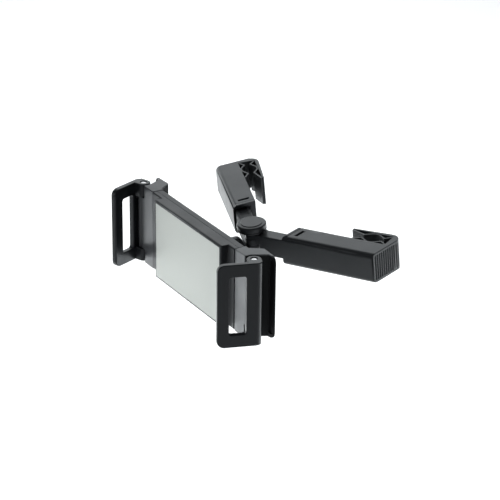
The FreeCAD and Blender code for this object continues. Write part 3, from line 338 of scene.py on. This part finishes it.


def paint_shade_and_dull_hollow(material):
    """Paint shade into the jaw's colour behind its polished front and under its rim, where the
    base colour goes to near black (painted shade), and make the finish rougher there."""
    tree = material.node_tree
    shader = tree.nodes["Principled BSDF"]
    place = tree.nodes["Texture Coordinate"].outputs["Object"]

    def rise(axis, start, end):
        """From 0 at start to 1 at end, measured along an axis of the cradle's own frame."""
        along = CRADLE_TURN @ Vector(axis)
        zero = BALL_CENTRE.dot(along) - CRADLE_SHIFT.dot(Vector(axis))
        measure = tree.nodes.new("ShaderNodeVectorMath")
        measure.operation = "DOT_PRODUCT"
        measure.inputs[1].default_value = along
        tree.links.new(place, measure.inputs[0])
        ramp = tree.nodes.new("ShaderNodeMapRange")
        ramp.inputs["From Min"].default_value = zero + start
        ramp.inputs["From Max"].default_value = zero + end
        tree.links.new(measure.outputs["Value"], ramp.inputs["Value"])
        return ramp.outputs["Result"]

    hollow = tree.nodes.new("ShaderNodeMath")
    hollow.operation = "MULTIPLY"
    tree.links.new(rise((0, 1, 0), POLISHED_DEPTH, SHADE_AND_ROUGH_DEPTH), hollow.inputs[0])
    tree.links.new(rise((0, 0, 1), RIM_TOP, RIM_FOOT), hollow.inputs[1])
    # Painted shade: in the hollow the base colour is taken to near black, standing in for the
    # shade that falls there.
    darker = tree.nodes.new("ShaderNodeMix")
    darker.data_type = "RGBA"
    darker.inputs["B"].default_value = (0.010, 0.011, 0.013, 1)
    tree.links.new(hollow.outputs["Value"], darker.inputs["Factor"])
    tree.links.new(tree.nodes["tint"].outputs["Result"], darker.inputs["A"])
    tree.links.new(darker.outputs["Result"], shader.inputs["Base Color"])
    duller = tree.nodes.new("ShaderNodeMix")
    duller.inputs["B"].default_value = 0.75
    tree.links.new(hollow.outputs["Value"], duller.inputs["Factor"])
    tree.links.new(tree.nodes["sheen"].outputs["Result"], duller.inputs["A"])
    tree.links.new(duller.outputs["Result"], shader.inputs["Roughness"])
    return material


JAW_EDGE = 0.061      # the sliding jaw's front begins here along the cradle
EDGE_REACH = 0.0001
RUNNING_GAP = 0.0012


def running_gap(work):
    """The sliding jaw's front stops short of the shell, which leaves a dark gap between them."""
    for vert in work.verts:
        at = in_cradle(vert.co)
        if abs(at.x - JAW_EDGE) < EDGE_REACH and at.y < POLISHED_DEPTH:
            vert.co = from_cradle(at + Vector((RUNNING_GAP, 0, 0)))


JAW_RADIUS = 0.0005
left_plastic = paint_shade_and_dull_hollow(moulded_plastic("left_jaw_plastic", (0.070, 0.074, 0.080),
                                           roughness=0.36, grain_depth=0.00004))
# Painted light: the right jaw's colour is painted lighter than the left jaw's, to make up for the
# shade its hook casts on it.
right_plastic_painted_lighter = paint_shade_and_dull_hollow(moulded_plastic("right_jaw_plastic_painted_lighter", (0.110, 0.116, 0.124),
                                            roughness=0.34, grain_depth=0.00004))
rounded_moulding("left_jaw", "left_jaw_moulding", JAW_RADIUS, left_plastic)
rounded_moulding("right_jaw", "right_jaw_moulding", JAW_RADIUS, right_plastic_painted_lighter,
                 reshape=running_gap)

# Hooks. Black moulded window frames with well rounded edges, which hold the tablet's edge and
# fold flat about their pins.
HOOK_RADIUS = 0.0007
hook_plastic = moulded_plastic("hook_plastic", (0.011, 0.013, 0.016),
                               roughness=0.33, grain_depth=0.00004)
rounded_moulding("left_hook", "left_hook_frame", HOOK_RADIUS, hook_plastic)
rounded_moulding("right_hook", "right_hook_frame", HOOK_RADIUS, hook_plastic)

# Hook pins. Turned steel, pressed through the knuckles of hook and jaw, with a shallow dome on
# each end that comes up nearly level with the knuckle.
UPWARD = 0.9
SLIVER_AREA = 1e-9
PIN_SIDES = 40
DOME_RINGS = ((0.86, 0.00035), (0.62, 0.00058), (0.32, 0.00070))  # share of the radius, rise
pin_steel = plain_steel("turned_steel", (0.70, 0.70, 0.71), 0.26, TURNED_MARKS)


def extruded(work, edges):
    """Extrude a ring of edges, and give the vertices and edges of the new ring."""
    new = bmesh.ops.extrude_edge_only(work, edges=edges)["geom"]
    return ([item for item in new if isinstance(item, bmesh.types.BMVert)],
            [item for item in new if isinstance(item, bmesh.types.BMEdge)])


def domed_pin(node, name):
    """A pin on its CAD node's axis and as thick, with a shallow dome added on each end.

    The pin stands nearly upright, so a face that points up, and is no sliver, lies square to
    its axis."""
    source = bmesh.new()
    source.from_mesh(frame["nodes"][node].data)
    bmesh.ops.remove_doubles(source, verts=source.verts, dist=MERGE_REACH)
    ends = [face for face in source.faces
            if face.normal.z > UPWARD and face.calc_area() > SLIVER_AREA]
    along = ends[-1].normal.copy()
    corners = [vert.co.copy() for vert in source.verts]
    source.free()
    centre = sum(corners, Vector()) / len(corners)
    spokes = [corner - centre for corner in corners]
    reach = max(spoke.dot(along) for spoke in spokes)
    radius = max((spoke - along * spoke.dot(along)).length for spoke in spokes)

    work = bmesh.new()
    bmesh.ops.create_circle(work, segments=PIN_SIDES, radius=radius, cap_ends=False)
    bmesh.ops.translate(work, verts=work.verts, vec=(0, 0, -reach))
    lower = work.edges[:]
    raised, upper = extruded(work, lower)
    bmesh.ops.translate(work, verts=raised, vec=(0, 0, 2 * reach))
    for rim, way in ((lower, -1), (upper, 1)):
        for share, rise in DOME_RINGS:
            ring, rim = extruded(work, rim)
            for vert in ring:
                scale = share * radius / math.hypot(vert.co.x, vert.co.y)
                vert.co = (vert.co.x * scale, vert.co.y * scale, way * (reach + rise))
        bmesh.ops.contextual_create(work, geom=rim)
    bmesh.ops.recalc_face_normals(work, faces=work.faces)
    turn = Vector((0, 0, 1)).rotation_difference(along).to_matrix().to_4x4()
    bmesh.ops.transform(work, matrix=Matrix.Translation(centre) @ turn, verts=work.verts)
    finished_piece(work, name, pin_steel, node)


domed_pin("left_hook_pin", "left_hook_domed_pin")
domed_pin("right_hook_pin", "right_hook_domed_pin")

# Jaw springs. Two closed-coil extension springs, wound from spring steel, lie behind the slide
# plate and draw the right jaw in.
spring_steel = plain_steel("spring_steel", (0.55, 0.55, 0.56), 0.3, EVEN_MARKS)
finish_nodes(spring_steel, "jaw_springs")


# Front panel. A thin sheet with a satin silver coat, bonded into the recess of the cradle's
# raised front.
def silver_coat():
    """Satin silver coat: very fine flakes and a faint orange peel."""
    material, tree, shader, place = new_finish("silver_coat")
    shader.inputs["Metallic"].default_value = 0.25
    flakes = noise(tree, place, scale=5200.0, detail=1.0)
    uneven_sheen(tree, flakes, smooth=0.42, rough=0.54)
    uneven_tint(tree, flakes, dark=(0.56, 0.59, 0.555), light=(0.64, 0.67, 0.635))
    fine_relief(tree, flakes, strength=0.1, depth=0.00001)
    return material


PANEL_RADIUS = 0.00015
rounded_moulding("front_panel", "silver_panel", PANEL_RADIUS, silver_coat())

# Studio. A pale floor sheet lies well below the mount and glows faintly. Softboxes stand round
# the mount and above it, and low ones light the floor itself, so that the black mouldings
# reflect it.
FLOOR_HEIGHT = -0.45
floor_mesh = bmesh.new()
bmesh.ops.create_grid(floor_mesh, x_segments=8, y_segments=8, size=6.0)
bmesh.ops.translate(floor_mesh, verts=floor_mesh.verts, vec=(0, 0, FLOOR_HEIGHT))
floor_data = bpy.data.meshes.new("floor")
floor_mesh.to_mesh(floor_data)
floor_mesh.free()
floor = bpy.data.objects.new("floor", floor_data)
bpy.context.scene.collection.objects.link(floor)
floor_paint = bpy.data.materials.new("floor_paint")
floor_paint.use_nodes = True
floor_shader = floor_paint.node_tree.nodes["Principled BSDF"]
floor_shader.inputs["Base Color"].default_value = (0.93, 0.93, 0.93, 1)
floor_shader.inputs["Roughness"].default_value = 0.9
floor_shader.inputs["Emission Color"].default_value = (1.0, 1.0, 1.0, 1)
floor_shader.inputs["Emission Strength"].default_value = 0.28
floor_data.materials.append(floor_paint)

world = bpy.data.worlds.new("studio")
world.use_nodes = True
world.node_tree.nodes["Background"].inputs["Color"].default_value = (1.0, 1.0, 1.0, 1)
world.node_tree.nodes["Background"].inputs["Strength"].default_value = 0.05
bpy.context.scene.world = world
bpy.context.scene.view_settings.view_transform = "Standard"

COOL_WHITE = (0.95, 0.985, 1.0)
middle = (Vector(cad_box[0]) + Vector(cad_box[1])) / 2


def softbox(name, place, target, size, power):
    """A square area light that faces a point."""
    lamp = bpy.data.lights.new(name, "AREA")
    lamp.size = size
    lamp.energy = power
    lamp.color = COOL_WHITE
    stand = bpy.data.objects.new(name, lamp)
    stand.location = place
    facing = Vector(target) - Vector(place)
    stand.rotation_euler = facing.to_track_quat("-Z", "Y").to_euler()
    stand.visible_camera = False
    bpy.context.scene.collection.objects.link(stand)


for name, away, size, power in (
        ("back_box", (-1.57, 0.84, 0.92), 1.8, 13.5),
        ("left_box", (-1.9, 0.1, 0.05), 0.7, 5.0),
        ("top_box", (0.1, 0.2, 1.9), 1.6, 3.0),
        ("front_box", (-0.5, -1.8, 0.9), 0.9, 3.4),
        ("rear_box", (-0.9, 1.7, 0.9), 1.2, 5.0)):
    softbox(name, middle + Vector(away), middle, size, power)
for name, place, spot, size, power in (
        ("left_floor_box", (-0.80, -0.62, 0.0), (-0.75, -0.55), 0.5, 11.0),
        ("far_floor_box", (0.30, 0.80, -0.1), (0.28, 0.78), 0.9, 8.0),
        ("behind_left_floor_box", (-1.15, 0.50, -0.1), (-1.10, 0.48), 0.6, 1.0),
        ("behind_right_floor_box", (-0.40, 0.72, -0.1), (-0.40, 0.70), 0.6, 1.2)):
    softbox(name, place, (*spot, FLOOR_HEIGHT), size, power)

# Camera. It stands where the fit of the photograph's perspective puts it, and looks the same
# way, without depth of field.
camera_data = bpy.data.cameras.new("camera")
camera_data.lens = 143.68
camera_data.sensor_width = 36.0
camera_data.clip_start = 0.05
camera_data.clip_end = 40.0
camera = bpy.data.objects.new("camera", camera_data)
camera.location = (1.308183, -0.70415, 0.707031)
camera_angles = (62.5035, 4.5963, 59.5259)
camera.rotation_euler = Euler([math.radians(angle) for angle in camera_angles], "XYZ")
bpy.context.scene.collection.objects.link(camera)
bpy.context.scene.camera = camera
